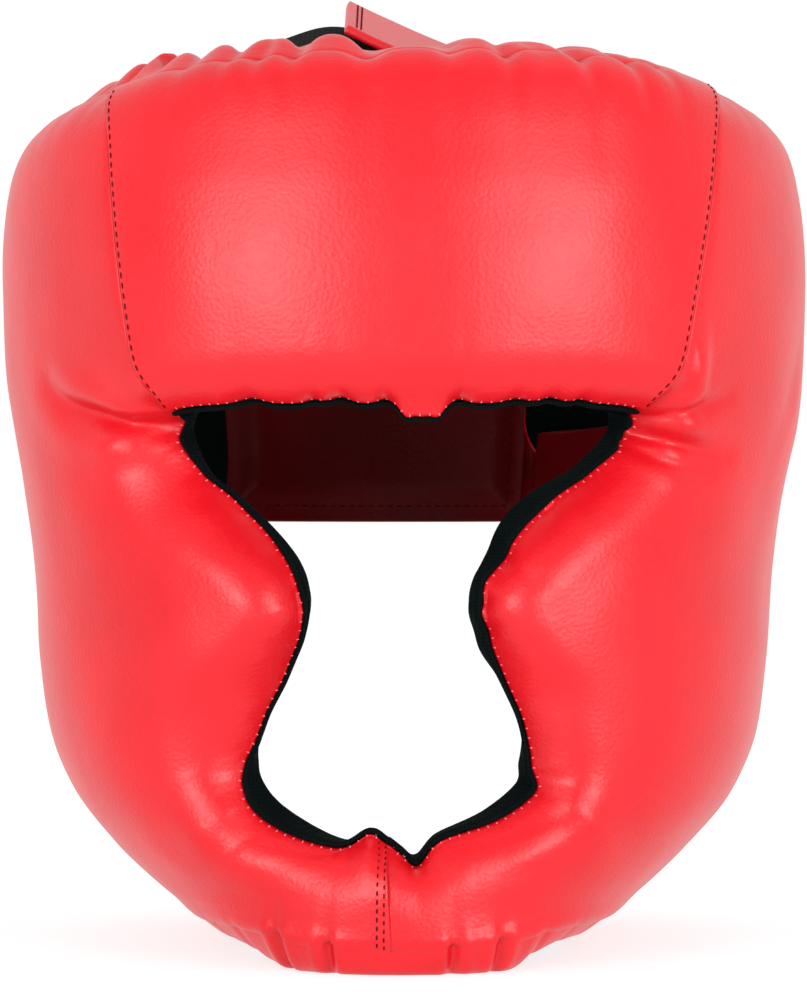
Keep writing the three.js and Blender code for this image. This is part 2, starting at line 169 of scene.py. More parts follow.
# Measures of the face opening's edge on the two side pads, by its height, in place of those above
OPENING = table(
    "z right_over right_drop right_crown right_lean left_over left_drop left_crown left_lean",
    (26, 18, 10, 2, 2.2, 18, 10, 2, 2.2),
    (40, 20, 12, 3, 2.2, 19, 11.5, 3, 0.8),
    (48, 23, 13.5, 4, 2.6, 20, 12.5, 4, 1.7),
    (58, 25, 15, 5, 7.0, 20, 13, 4.5, 4.1),
    (68, 25, 15, 5, 7.0, 21, 14, 4.5, 2.8),
    (78, 19, 13, 5, 4.9, 17, 12, 4.4, 0),
    (88, 15, 10, 5, 2.8, 14, 10, 4.4, 0.4),
    (98, 17, 11, 5, 1.4, 15, 10, 4.4, 0),
    (108, 21, 14, 5, 2.2, 16, 12, 5, -2.2),
    (122, 23, 15, 5, 3.2, 17, 13, 5, 0.4),
    (136, 15, 10, 3, 2.6, 13, 10, 3, 2.0),
)
# How far the wall under the lower edge swells, from the chin seam to the rear end
BOTTOM_SWELL = table(
    "share right left",
    (0, 9, 9),
    (0.27, 9, 9),
    (0.31, 9, 8),
    (0.36, 8.5, 6),
    (0.42, 6.5, 4.5),
    (0.5, 5, 4),
    (0.6, 5.5, 5),
    (0.75, 7, 7),
    (1, 6, 6),
)

# Where a thread pulls an edge in: the place along the edge, how far and how wide it pulls,
# and how deep and how long a crease it draws in the leather
TOP_PINCHES = table(
    "x pull width sink reach",
    (-58, 0.7, 4, 0.9, 5),
    (-46, 0.8, 3, 0.9, 5),
    (-38, 1.4, 3.5, 1.4, 6),
    (-28.5, 2.0, 3, 1.6, 6),
    (-9.5, 3.0, 4.5, 2.0, 7),
    (12, 1.6, 3.5, 1.6, 6),
    (26.5, 2.6, 3, 2.0, 7),
    (46, 2.6, 3.2, 2.0, 8),
    (58.5, 1.8, 2.6, 1.7, 8),
    (67, 1.2, 2.6, 1.2, 7),
)
BROW_PINCHES = table(
    "x pull width sink reach",
    (-41, 1.3, 5, 0.9, 6),
    (-23.7, 0.9, 3, 0.8, 5),
    (-16.7, 1.5, 3.5, 1.0, 6),
    (-5, 0.9, 2.5, 1.0, 6),
    (0.8, -2.9, 2.2, 0, 5),
    (5, -3.2, 3.2, -0.4, 5),
    (9.2, -2.9, 2.2, 0, 5),
    (15, 0.9, 2.5, 1.0, 6),
    (30.3, 1.0, 4, 0.8, 5),
    (39.5, 1.3, 4, 0.8, 5),
    (48, 0.9, 3.5, 0.8, 5),
)
CHEEK_PINCHES = {
    RIGHT: table(
        "z pull width sink reach",
        (92.5, 0.6, 3, 0.5, 6),
        (112, 0.4, 4, 0.4, 6),
        (75, 0.4, 5, 0.4, 6),
    ),
    LEFT: table(
        "z pull width sink reach",
        (101, 1.0, 3, 0.5, 5),
        (95, -0.5, 2, 0, 4),
        (90, 1.1, 2.6, 0.6, 5),
        (82.5, 0.7, 3, 0.4, 5),
        (112, 0.4, 4, 0.4, 6),
    ),
}
CHIN_NOTCH_SHARE = 0.0655
CHIN_NOTCH = dict(pull=2.2, width=2.4, sink=0.5, reach=6)
# Pockets in the lower edge beside the chin, as shares v of each side pad
BOTTOM_POCKETS = {RIGHT: (0.055, 0.098), LEFT: (0.051, 0.09)}
POCKET = dict(pull=1.6, width=2.2, sink=1.8, reach=4)
# Random pinches of a side pad's top edge and of its lower edge: where they start and end, and their ranges
SHOULDER = dict(
    start=0.07, end=0.96, gap=(0.06, 0.11), pull=(0.5, 1.6), sink=(0.3, 0.9), reach=(4, 6), width=3.5
)
HEM = dict(end=JAW_SHARE - 0.06, gap=(0.03, 0.05), pull=(0.2, 0.5), sink=(0.2, 0.5), reach=3, width=2.4)
PINCH_SEEDS = {LEFT: 14, RIGHT: 8}
# Shape of a pinch, in its own widths and reaches: its crease, the leather that bulges beside it,
# how far the edge is drawn in, and how much less the lining is
CREASE_WIDTH = 0.6
BULGE_AWAY, BULGE_WIDTH, BULGE_HEIGHT = 1.5, 0.8, 0.35
DRAWN_REACH = 0.7
DRAWN_INSIDE = 0.7
PINCH_LIMIT = 60  # how far from its thread a pinch ends

# Folds of the leather, as x and z seen from the front: how wide they are, how deep they sink,
# or stand out if that is negative, and the points they run through
FOLDS = {
    "right_temple": (
        2.8, 7.5, (-58.6, 131.7), (-68.7, 132.6), (-77.3, 134.9), (-87.7, 138.9), (-92.5, 143.8)
    ),
    "right_temple_ridge": (3, -2.0, (-59, 135), (-69, 136.4), (-79, 138), (-90, 143)),
    "right_temple_pocket": (2.4, 1.8, (-61, 137.5), (-70, 138.6), (-80.4, 142.5)),
    "right_jaw_ridge": (5, -1.6, (-44, 41.4), (-51, 33.6), (-57, 25.8)),
    "right_jaw_bump": (8, -0.9, (-44.3, 28.6), (-38, 19.4)),
    "left_temple_high": (2.2, 2.8, (57.6, 134.6), (69.2, 141.2), (75, 143.5)),
    "left_temple_middle": (1.7, 2.8, (61, 134.2), (70, 135.6), (83.7, 140.8)),
    "left_temple_deep": (2.1, 4.6, (62, 132.6), (72, 129.5), (84, 126)),
    "left_temple_low": (1.8, 2.6, (63, 131), (70, 125.2), (80, 121.6)),
    "left_temple_knob": (7, -2.0, (72, 146), (78, 146.5)),
    "left_temple_bulge": (16, -1.4, (102, 150), (103, 128)),
    "left_jaw_ridge": (4.5, -1.6, (36.4, 42.8), (45.4, 37.4), (56.4, 26.8)),
    "left_jaw_tuck": (6, -0.8, (34.2, 33.6), (35.8, 24.9)),
}
FOLD_POINTS = 17
# Shape of a fold, by the share of the way along it: how much of its depth a fold or a ridge starts with,
# where it has all of it, how much it loses and where, and how much wider it gets
FOLD_START, RIDGE_START = 0.5, 0.1
FOLD_FULL = 0.3
FOLD_LOSS, FOLD_FADE = 0.85, (0.5, 1.1)
FOLD_SPREAD = 0.6
FOLD_POWER = 1.6  # how flat its bottom is
LIP_AWAY, LIP_HEIGHT = 2, 0.06  # of the leather that rises beside it


def lerp(a, b, t):
    return a + (b - a) * t


def smoothstep(value, low, high):
    t = np.clip((value - low) / (high - low), 0, 1)
    return t * t * (3 - 2 * t)


def fade(distance, reach):
    return np.clip(1 - distance / reach, 0, 1) ** 2


def unit(vectors):
    return vectors / np.linalg.norm(vectors, axis=-1, keepdims=True)


def dot(a, b):
    return np.sum(a * b, axis=-1)


def curve(stops, values, at):
    """A smooth curve through values at stops."""
    slopes = np.empty(len(stops))
    slopes[1:-1] = (values[2:] - values[:-2]) / (stops[2:] - stops[:-2])
    slopes[0] = (values[1] - values[0]) / (stops[1] - stops[0])
    slopes[-1] = (values[-1] - values[-2]) / (stops[-1] - stops[-2])
    at = np.clip(at, stops[0], stops[-1])
    i = np.clip(np.searchsorted(stops, at) - 1, 0, len(stops) - 2)
    span = stops[i + 1] - stops[i]
    t = (at - stops[i]) / span
    start = (2 * t**3 - 3 * t**2 + 1) * values[i] + (t**3 - 2 * t**2 + t) * span * slopes[i]
    end = (3 * t**2 - 2 * t**3) * values[i + 1] + (t**3 - t**2) * span * slopes[i + 1]
    return start + end


def section(name, z):
    return curve(SECTIONS["z"], SECTIONS[name], z)


def shell(angle, z):
    """Points of the outer surface, by the angle round the head from the face and the height."""
    sin, cos = np.sin(angle), np.cos(angle)
    reach = np.where(cos > 0, section("front", z), section("rear", z))
    square = lerp(SQUARE_LOW, SQUARE, smoothstep(z, 0, SQUARE_TO))
    return np.stack([section("half", z) * sin, -reach * cos * (1 + square * sin**2), z + 0 * sin], axis=-1)


def through(angle, z):
    """The way out of the padding: square to the surface, and level near the floor and at the top edge."""
    turn, rise = 0.002, 0.2
    around = shell(angle + turn, z) - shell(angle - turn, z)
    up = shell(angle, z + rise) - shell(angle, z - rise)
    normal = unit(np.cross(around, up))
    normal[..., 2] *= smoothstep(z, *LEVEL_FLOOR) * (1 - smoothstep(z, *LEVEL_TOP))
    return unit(normal)


def angle_at(x, z):
    return np.arcsin(np.clip(x / section("half", z), -1, 1))


def front_edge(row, side):
    """The angle and height of a side pad's front edge by its row, smooth on each side of the eye corner."""
    row = np.asarray(row, float)
    found = {}
    for name in ("x", "z"):
        values = FRONT_EDGE[SIDE_NAME[side] + "_" + name]
        low = curve(np.arange(EYE_ROW + 1.0), values[: EYE_ROW + 1], row)
        high = curve(np.arange(EYE_ROW, TOP_ROW + 1.0), values[EYE_ROW:], row)
        found[name] = np.where(row <= EYE_ROW, low, high)
    return angle_at(found["x"], found["z"]), found["z"]


def distance_to(line, points):
    """How far each point is from a line of points."""
    best = np.full(len(points), np.inf)
    for start, end in zip(line[:-1], line[1:]):
        step = end - start
        t = np.clip(dot(points - start, step) / max(dot(step, step), 1e-9), 0, 1)
        away = np.linalg.norm(points - start - t[:, None] * step, axis=1)
        best = np.minimum(best, away)
    return best


LINE_PULL = 3 * math.pi / 8  # what a long straight line one away pulls
LINE_DETAIL = 8  # how many parts each step of a line is cut into
SMOOTH_FROM, SMOOTH_FULL = 2, 8


def smooth_distance(line, points):
    """Much like distance_to, but without a crease where two parts of the line are equally far.

    Each part of the line pulls by the sixth power of its distance, so a long line by the fifth."""
    ends = np.linspace(0, len(line) - 1, LINE_DETAIL * len(line))
    fine = np.stack([np.interp(ends, np.arange(len(line)), axis) for axis in line.T], axis=1)
    step = np.linalg.norm(np.diff(fine, axis=0), axis=1)
    middles = (fine[1:] + fine[:-1]) / 2
    near = distance_to(line, points)
    pull = np.zeros(len(points))
    for middle, length in zip(middles, step):
        away = points - middle
        pull += length / np.maximum(dot(away, away), 1) ** 3
    soft = (pull / LINE_PULL) ** (-1 / 5)
    return lerp(near, soft, smoothstep(near, SMOOTH_FROM, SMOOTH_FULL))


LUMP_STEP = (7.3, 3.1, 5.7)  # from one seed's part of the noise to the next


def lumps(points, size, seed):
    """Smooth random numbers, about -1 to 1, over points; size is the distance over which they change."""
    offset = Vector([seed * step for step in LUMP_STEP])
    return np.array([noise.noise(Vector(point / size) + offset) for point in points])


class Pad:
    """A padded panel: u and v say where on it, t runs from the leather to the lining."""

    sides = {"u0": (-1, 0), "u1": (1, 0), "v0": (0, -1), "v1": (0, 1)}
    folds = ()
    slack = 0

    def outward(self, u, v, du, dv):
        """The direction in the surface that leads out over an edge, square to the edge."""
        step = 0.004
        here = shell(*self.at(u, v))
        out = here - shell(*self.at(u - du * step, v - dv * step))
        ahead = shell(*self.at(np.clip(u + abs(dv) * step, 0, 1), np.clip(v + abs(du) * step, 0, 1)))
        behind = shell(*self.at(np.clip(u - abs(dv) * step, 0, 1), np.clip(v - abs(du) * step, 0, 1)))
        along = ahead - behind
        out = out - along * (dot(out, along) / dot(along, along))[..., None]
        return unit(out)

    def pinched(self, skin):
        """How far the threads that pull a pad's edges raise its leather, and how far they draw it aside."""
        relief = np.zeros(len(skin))
        drawn = np.zeros((len(skin), 3))
        for pinch in self.pinches:
            away = skin - pinch["point"]
            inwards = np.clip(dot(away, pinch["inwards"]), 0, None)
            across = dot(away, pinch["along"])
            width, reach = pinch["width"], pinch["reach"]
            near = np.exp(-inwards / reach) * (np.linalg.norm(away, axis=1) < PINCH_LIMIT)
            hug = np.exp(-((across / width) ** 2)) * near
            narrow = np.exp(-((across / (CREASE_WIDTH * width)) ** 2)) * near
            apart = np.abs(across) - BULGE_AWAY * width
            beside = np.exp(-((apart / (BULGE_WIDTH * width)) ** 2)) * near
            relief += pinch["sink"] * (BULGE_HEIGHT * beside - narrow)
            fading = np.exp(-inwards / (DRAWN_REACH * reach))
            drawn += pinch["inwards"] * (pinch["pull"] * hug * fading)[:, None]
        return relief, drawn

    def folded(self, skin):
        relief = np.zeros(len(skin))
        for width, depth, *corners in self.folds:
            x, z = np.array(corners).T
            stops = np.linspace(0, 1, len(x))
            way = np.linspace(0, 1, FOLD_POINTS)
            z = curve(stops, z, way)
            line = shell(angle_at(curve(stops, x, way), z), z)
            away = distance_to(line, skin)
            along = dot(skin - line[0], unit(line[-1] - line[0])) / np.linalg.norm(line[-1] - line[0])
            start = FOLD_START if depth > 0 else RIDGE_START
            taper = lerp(start, 1, smoothstep(along, 0, FOLD_FULL))
            taper = taper - FOLD_LOSS * smoothstep(along, *FOLD_FADE)
            width = width * (1 + FOLD_SPREAD * np.clip(along, 0, 1))
            valley = np.exp(-((away / width) ** FOLD_POWER))
            shoulder = np.exp(-(((away - LIP_AWAY * width) / width) ** 2))
            relief += depth * taper * (LIP_HEIGHT * shoulder - valley)
        return relief

    def edge_value(self, kind, name, z, v):
        """One of the measures of an edge's finish, at heights z and shares v."""
        measures = FINISH[kind.split("_")[0]]
        return np.full(len(z), float(measures[EDGE_MEASURES.index(name)]))

    def edge_values(self, kind, names, z, v):
        return [self.edge_value(kind, name, z, v) for name in names]

    def drop(self, skin, v):
        """How far the leather lies under the full surface, from its roll-off to the nearest edges."""
        drops = []
        for kind, line in self.edges.items():
            over, drop, crown = self.edge_values(kind, ("over", "drop", "crown"), skin[:, 2], v)
            distance = smooth_distance(line, skin) if kind == "opening" else distance_to(line, skin)
            away = np.clip(1 - distance / over, 0, 1)
            drops.append(drop * away**ROLL_POWER + crown * fade(distance, CROWN_REACH))
        return np.sum(np.array(drops) ** CORNER_POWER, axis=0) ** (1 / CORNER_POWER)

    def points(self, u, v, t, over=None, proud=0.0, lift=PAD_LIFT):
        """Points of the pad, or of a band over the wall of the edge over, standing proud of it."""
        angle, z = self.at(u, v)
        skin = shell(angle, z)
        relief, drawn = self.pinched(skin)
        relief = relief + self.folded(skin)
        for height, size, seed in LUMPS:
            relief = relief + height * lumps(skin, size, seed)
        inside = smoothstep(np.minimum(u, 1 - u), 0, SLACK_EDGES[0])
        inside = inside * smoothstep(np.minimum(v, 1 - v), 0, SLACK_EDGES[1])
        depth = lerp(self.drop(skin, v) - relief + self.slack * inside, self.thickness(angle, z, skin), t)
        points = skin - through(angle, z) * depth[:, None] + drawn * (1 - DRAWN_INSIDE * t)[:, None]
        for name, (du, dv) in self.sides.items():
            for kind in self.side_kinds[name]:
                away = distance_to(self.edges[kind], skin)
                near = self.belongs(kind, v) & (away < LEAN_FADE)
                if not near.any():
                    continue
                on = self.lies_on(name, u, v)[near]
                inset, lean, swell = self.edge_values(kind, ("inset", "lean", "swell"), z[near], v[near])
                share = t[near]
                out = swell * on * (1 - (2 * share - 1) ** WALL_POWER)
                out -= inset * fade(away[near], INSET_FADE)
                out -= lean * share * fade(away[near], LEAN_FADE)
                if name == over:
                    out += np.broadcast_to(proud, u.shape)[near] * on
                points[near] += self.outward(u[near], v[near], du, dv) * out[:, None]
        points[:, 2] = np.maximum(points[:, 2], FLOOR + lift)
        return points

    def belongs(self, kind, v):
        """Whether the edge of that kind is the one beside places with shares v."""
        return np.full(len(v), True)

    def lies_on(self, name, u, v):
        tests = {"u0": u < NEAR, "u1": u > 1 - NEAR, "v0": v < NEAR, "v1": v > 1 - NEAR}
        return tests[name]

    def pinch_at(self, u, v, du, dv, pull, width, sink, reach):
        """A pinch at a place on an edge, with the directions that it works in."""
        place = np.array([u]), np.array([v])
        out = self.outward(*place, du, dv)[0]
        normal = through(*self.at(*place))[0]
        point = shell(*self.at(*place))[0]
        along = np.cross(normal, out)
        return dict(point=point, inwards=-out, along=along, pull=pull, width=width, sink=sink, reach=reach)


class SidePad(Pad):
    """u runs from the face to the lower or rear edge, v from the chin seam to the top."""

    def __init__(self, side):
        self.side = side
        ends = np.linspace(0, 1, 41)
        low = ends * JAW_SHARE
        high = lerp(JAW_SHARE, 1, ends)
        opening = ends * EYE_SHARE
        seam = lerp(EYE_SHARE, 1, ends)
        zero, one = np.zeros_like(ends), np.ones_like(ends)
        self.edges = {
            "chin": shell(*self.at(ends, zero)),
            "opening": shell(*self.at(zero, opening)),
            "seam": shell(*self.at(zero, seam)),
            "bottom": shell(*self.at(one, low)),
            "rear": shell(*self.at(one, high)),
            "shoulder": shell(*self.at(ends, one)),
        }
        self.side_kinds = {
            "u0": ("opening", "seam"),
            "u1": ("bottom", "rear"),
            "v0": ("chin",),
            "v1": ("shoulder",),
        }
        self.folds = [fold for key, fold in FOLDS.items() if key.startswith(SIDE_NAME[side])]
        self.pinches = self.all_pinches()

    def at(self, u, v):
        row = np.interp(v, ROWS["v"], ROWS["row"])
        front_angle, front_z = front_edge(row, self.side)
        bottom_share = np.clip(v / JAW_SHARE, 0, 1)
        chin_angle = front_edge(np.zeros_like(row), self.side)[0]
        bottom_angle = lerp(chin_angle, self.side * np.radians(BOTTOM_EDGE["angle"][-1]), bottom_share)
        bottom_z = curve(BOTTOM_EDGE["angle"], BOTTOM_EDGE["z"], np.degrees(np.abs(bottom_angle)))
        rear_share = np.clip((v - JAW_SHARE) / (1 - JAW_SHARE), 0, 1)
        rear_z = lerp(REAR_EDGE["z"][0], REAR_EDGE["z"][-1], rear_share)
        rear_angle = self.side * np.radians(curve(REAR_EDGE["z"], REAR_EDGE[SIDE_NAME[self.side]], rear_z))
        low = v <= JAW_SHARE
        t = u**FRONT_BIAS
        angle = lerp(front_angle, np.where(low, bottom_angle, rear_angle), t)
        return angle, lerp(front_z, np.where(low, bottom_z, rear_z), t)

    def thickness(self, angle, z, skin):
        under = smoothstep(JAW_TOP - z, 0, JAW_DEPTH)
        low = under * smoothstep(np.abs(angle), *JAW_ANGLES)
        rear = 1 - smoothstep(distance_to(self.edges["rear"], skin), 0, REAR_THINNING)
        return np.minimum(lerp(PAD, PAD_LOW, low), lerp(PAD, PAD_REAR, rear))

    def belongs(self, kind, v):
        ranges = {
            "opening": v < EYE_SHARE + NEAR,
            "seam": v > EYE_SHARE + NEAR,
            "bottom": v < JAW_SHARE + NEAR,
            "rear": v > JAW_SHARE + NEAR,
        }
        return ranges.get(kind, np.full(len(v), True))

    def edge_value(self, kind, name, z, v):
        key = SIDE_NAME[self.side] + "_" + name
        if kind == "opening" and key in OPENING:
            return curve(OPENING["z"], OPENING[key], z)
        if kind == "bottom" and name == "swell":
            return np.interp(v / JAW_SHARE, BOTTOM_SWELL["share"], BOTTOM_SWELL[SIDE_NAME[self.side]])
        return super().edge_value(kind, name, z, v)

    def all_pinches(self):
        chance = random.Random(PINCH_SEEDS[self.side])
        made = []
        v = np.linspace(JAW_SHARE, EYE_SHARE, 400)
        edge_z = front_edge(np.interp(v, ROWS["v"], ROWS["row"]), self.side)[1]
        for z, *pinch in zip(*CHEEK_PINCHES[self.side].values()):
            made.append(self.pinch_at(0.0, np.interp(z, edge_z, v), -1, 0, *pinch))
        u = SHOULDER["start"]
        while u < SHOULDER["end"]:
            pull, sink, reach = [chance.uniform(*SHOULDER[key]) for key in ("pull", "sink", "reach")]
            made.append(self.pinch_at(u, 1.0, 0, 1, pull, SHOULDER["width"], sink, reach))
            u += chance.uniform(*SHOULDER["gap"])
        self.bottom_places = list(BOTTOM_POCKETS[self.side])
        for v in self.bottom_places:
            made.append(self.pinch_at(1.0, v, 1, 0, **POCKET))
        v = self.bottom_places[-1]
        while v < HEM["end"]:
            v += chance.uniform(*HEM["gap"])
            self.bottom_places.append(v)
            pull, sink = [chance.uniform(*HEM[key]) for key in ("pull", "sink")]
            made.append(self.pinch_at(1.0, v, 1, 0, pull, HEM["width"], sink, HEM["reach"]))
        if self.side == LEFT:
            made.append(self.pinch_at(0.0, CHIN_NOTCH_SHARE, -1, 0, **CHIN_NOTCH))
        return made


class ForeheadPad(Pad):
    """u runs from the right seam to the left one, v from the brow to the top."""

    def __init__(self):
        ends = np.linspace(0, 1, 61)
        zero, one = np.zeros_like(ends), np.ones_like(ends)
        self.edges = {
            "seam_right": shell(*self.at(zero, ends)),
            "seam_left": shell(*self.at(one, ends)),
            "opening": shell(*self.at(ends, zero)),
            "top": shell(*self.at(ends, one)),
        }
        self.side_kinds = {"u0": ("seam_right",), "u1": ("seam_left",), "v0": ("opening",), "v1": ("top",)}
        self.pinches = []
        for rows, v, dv, key in ((TOP_PINCHES, 1.0, 1, "top"), (BROW_PINCHES, 0.0, -1, "opening")):
            for x, *pinch in zip(*rows.values()):
                u = np.interp(x, self.edges[key][:, 0], ends)
                self.pinches.append(self.pinch_at(u, v, 0, dv, *pinch))

    def at(self, u, v):
        row = lerp(EYE_ROW, TOP_ROW, v)
        right_angle, right_z = front_edge(row, RIGHT)
        left_angle, left_z = front_edge(row, LEFT)
        side = np.abs(2 * u - 1)
        bow = lerp(BROW_RISE * (1 - side**BROW_BEND), RIM_RISE * (1 - side**RIM_BEND), v)
        return lerp(right_angle, left_angle, u), lerp(right_z, left_z, u) + bow

    def thickness(self, angle, z, skin):
        return np.full(len(skin), float(PAD))


# Pieces

def unit_box(steps):
    """A closed box of unit sides, divided into steps along each."""
    bm = bmesh.new()
    bmesh.ops.create_cube(bm, size=1)
    bmesh.ops.translate(bm, vec=(0.5, 0.5, 0.5), verts=bm.verts[:])
    for axis, count in enumerate(steps):
        if count > 1:
            lengthwise = [e for e in bm.edges if abs(e.verts[0].co[axis] - e.verts[1].co[axis]) > 0.5]
            bmesh.ops.subdivide_edges(bm, edges=lengthwise, cuts=count - 1, use_grid_fill=True)
    return bm


def shaped(steps, place):
    """A unit box bent to shape, with its points' places in the box and in the scene.

    place gives the points in millimetres for arrays of box places."""
    bm = unit_box(steps)
    spots = np.array([vert.co for vert in bm.verts])
    points = (place(*spots.T) + SHIFT) * MM
    for vert, point in zip(bm.verts, points):
        vert.co = point
    bmesh.ops.recalc_face_normals(bm, faces=bm.faces[:])
    if bm.calc_volume(signed=True) < 0:
        bmesh.ops.reverse_faces(bm, faces=bm.faces[:])
    return bm, spots, points


def new_object(name, bm, material):
    mesh = bpy.data.meshes.new(name)
    bm.to_mesh(mesh)
    bm.free()
    mesh.shade_smooth()
    mesh.materials.append(material)
    thing = bpy.data.objects.new(name, mesh)
    bpy.context.scene.collection.objects.link(thing)
    return thing


def bent(name, steps, place, material):
    """A closed piece of the headgear, and the box places of its points."""
    bm, spots, _ = shaped(steps, place)
    piece = new_object(name, bm, material)
    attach(piece, "root")
    return piece, spots


def smoother(piece):
    rounding = piece.modifiers.new("rounding", "SUBSURF")
    rounding.levels = rounding.render_levels = 1


# Finishes

class Amount:
    """A socket that gives a value, so that sums and products of sockets read as plain maths."""

    def __init__(self, nodes, socket):
        self.nodes = nodes
        self.socket = socket

    def maths(self, operation, *values):
        return self.nodes.add("ShaderNodeMath", {"operation": operation}, dict(enumerate(values)))[0]

    def __add__(self, other):
        return self.maths("ADD", self, other)

    def __mul__(self, other):
        return self.maths("MULTIPLY", self, other)

    __radd__ = __add__
    __rmul__ = __mul__


class Nodes:
    """The nodes of a material or of the world."""

    def __init__(self, owner):
        owner.use_nodes = True
        self.tree = owner.node_tree

    def add(self, kind, settings, sockets):
        """A node by its type, its settings, and the values or links of its sockets; gives its outputs."""
        node = self.tree.nodes.new(kind)
        for key, value in settings.items():
            if key == "stops":
                self.set_stops(node.color_ramp, value)
            else:
                setattr(node, key, value)
        self.fill(node, sockets)
        outputs = {output.name: Amount(self, output) for output in reversed(node.outputs) if output.enabled}
        outputs.update({index: Amount(self, output) for index, output in enumerate(node.outputs)})
        return outputs

    def fill(self, node, sockets):
        enabled = {socket.name: socket for socket in reversed(node.inputs) if socket.enabled}
        for key, value in sockets.items():
            socket = node.inputs[key] if isinstance(key, int) else enabled[key]
            if isinstance(value, Amount):
                self.tree.links.new(value.socket, socket)
            else:
                socket.default_value = value

    def set_stops(self, ramp, stops):
        while len(ramp.elements) < len(stops):
            ramp.elements.new(1)
        for element, (position, grey) in zip(ramp.elements, stops):
            element.position = position
            element.color = (grey, grey, grey, 1)


class Finish(Nodes):
    """A material and its nodes."""

    def __init__(self, name):
        self.material = bpy.data.materials.new(name)
        super().__init__(self.material)
        self.shader = self.tree.nodes["Principled BSDF"]
        self.place = self.add("ShaderNodeTexCoord", {}, {})["Object"]

    def noise(self, size, detail=3, roughness=0.55):
        """Smooth random values over the piece; size is how many millimetres they change over."""
        sockets = {"Vector": self.place, "Scale": 1 / (size * MM), "Detail": detail, "Roughness": roughness}
        return self.add("ShaderNodeTexNoise", {}, sockets)["Fac"]

    def pebbles(self, size):
        sockets = {"Vector": self.place, "Scale": 1 / (size * MM)}
        return self.add("ShaderNodeTexVoronoi", {"feature": "F1"}, sockets)["Distance"]

    def ramp(self, value, *stops):
        return self.add("ShaderNodeValToRGB", {"stops": stops}, {"Fac": value})["Color"]

    def mix(self, share, first, second):
        settings = {"data_type": "RGBA"}
        return self.add("ShaderNodeMix", settings, {"Factor": share, "A": first, "B": second})["Result"]

    def bump(self, height, strength, distance, normal=None):
        sockets = {"Height": height, "Strength": strength, "Distance": distance * MM}
        if normal:
            sockets["Normal"] = normal
        return self.add("ShaderNodeBump", {}, sockets)["Normal"]

    def set(self, **sockets):
        self.fill(self.shader, {key.replace("_", " "): value for key, value in sockets.items()})
        return self.material


def red_leather(name, deep, bright, gloss):
    """Grained coated leather: small pebbles, soft cloudy colour, and a gloss that varies a little."""
    leather = Finish(name)
    crevice = leather.ramp(leather.pebbles(size=1.1), (0.0, 1.0), (0.75, 0.0))
    cloud = leather.noise(size=38)
    fine = leather.noise(size=2.4, detail=4, roughness=0.6)
    tone = leather.ramp(cloud * 0.75 + fine * 0.25, (0.32, 0.0), (0.68, 1.0))
    colour = leather.mix(tone, deep, bright)
    roughness = 0.28 + fine * 0.1 + cloud * 0.06
    creases = leather.noise(size=6, detail=4, roughness=0.6)
    wrinkle = leather.bump(creases, strength=0.12, distance=0.4)
    grain = leather.bump(crevice * 0.7 + fine * 0.5, strength=0.45, distance=0.14, normal=wrinkle)
    return leather.set(Base_Color=colour, Roughness=roughness, Normal=grain, Specular_IOR_Level=gloss)


WAVE_SCALE = 0.314  # of a wave texture with bands one apart


def black_cloth(name, deep, bright, pitch):
    """Woven cloth: two crossing rows of threads, with dusty cloudy wear."""
    cloth = Finish(name)
    weave = []
    for direction in ("X", "Z"):
        settings = {"wave_type": "BANDS", "bands_direction": direction}
        sockets = {"Vector": cloth.place, "Scale": WAVE_SCALE / (pitch * MM)}
        sockets.update({"Distortion": 1.2, "Detail": 2.0})
        weave.append(cloth.add("ShaderNodeTexWave", settings, sockets)["Fac"])
    threads = weave[0] * weave[1]
    cloud = cloth.noise(size=14, detail=4)
    colour = cloth.mix(cloth.ramp(cloud * 0.7 + threads * 0.3, (0.3, 0.0), (0.7, 1.0)), deep, bright)
    height = threads + cloth.noise(size=0.8) * 0.6
    bump = cloth.bump(height, strength=0.5, distance=0.3)
    return cloth.set(Base_Color=colour, Roughness=0.78 + cloud * 0.18, Normal=bump, Specular_IOR_Level=0.04)


def sewing_thread(name, deep, bright):
    thread = Finish(name)
    twist = thread.noise(size=0.5, detail=2)
    colour = thread.mix(twist, deep, bright)
    bump = thread.bump(twist, strength=0.6, distance=0.1)
    return thread.set(Base_Color=colour, Roughness=0.6 + twist * 0.2, Normal=bump, Specular_IOR_Level=0.1)


LEATHER = red_leather("red_leather", (0.54, 0.002, 0.007, 1), (0.64, 0.005, 0.012, 1), 0.4)
# A darker, duller copy of the red leather: painted shade for the faces turned to the head, away from the
# light
PAINTED_SHADE_LEATHER = red_leather("painted_shade_red_leather", (0.1, 0.0008, 0.002, 1), (0.16, 0.0015, 0.004, 1), 0.12)
LINING = black_cloth("black_lining", (0.001, 0.003, 0.003, 1), (0.003, 0.006, 0.006, 1), 0.9)
LOOP = black_cloth("black_loop", (0.003, 0.003, 0.003, 1), (0.016, 0.016, 0.017, 1), 1.4)
# Dark red thread: partly the thread's own colour, and darkened further as painted shade of the sunk stitch
# holes
RED_THREAD_AND_HOLE_SHADE = sewing_thread("red_thread_and_painted_shade", (0.05, 0.001, 0.002, 1), (0.14, 0.002, 0.004, 1))
PALE_THREAD = sewing_thread("pale_thread", (0.7, 0.06, 0.08, 1), (0.8, 0.2, 0.22, 1))
# Finishes of the sheets, with their slots
RED = (LEATHER, "red_leather")
BLACK = (LINING, "black_lining")
BLACK_LOOP = (LOOP, "black_lining")


# Pads

left_pad = SidePad(LEFT)
right_pad = SidePad(RIGHT)
side_pads = {"left": left_pad, "right": right_pad}
forehead = ForeheadPad()

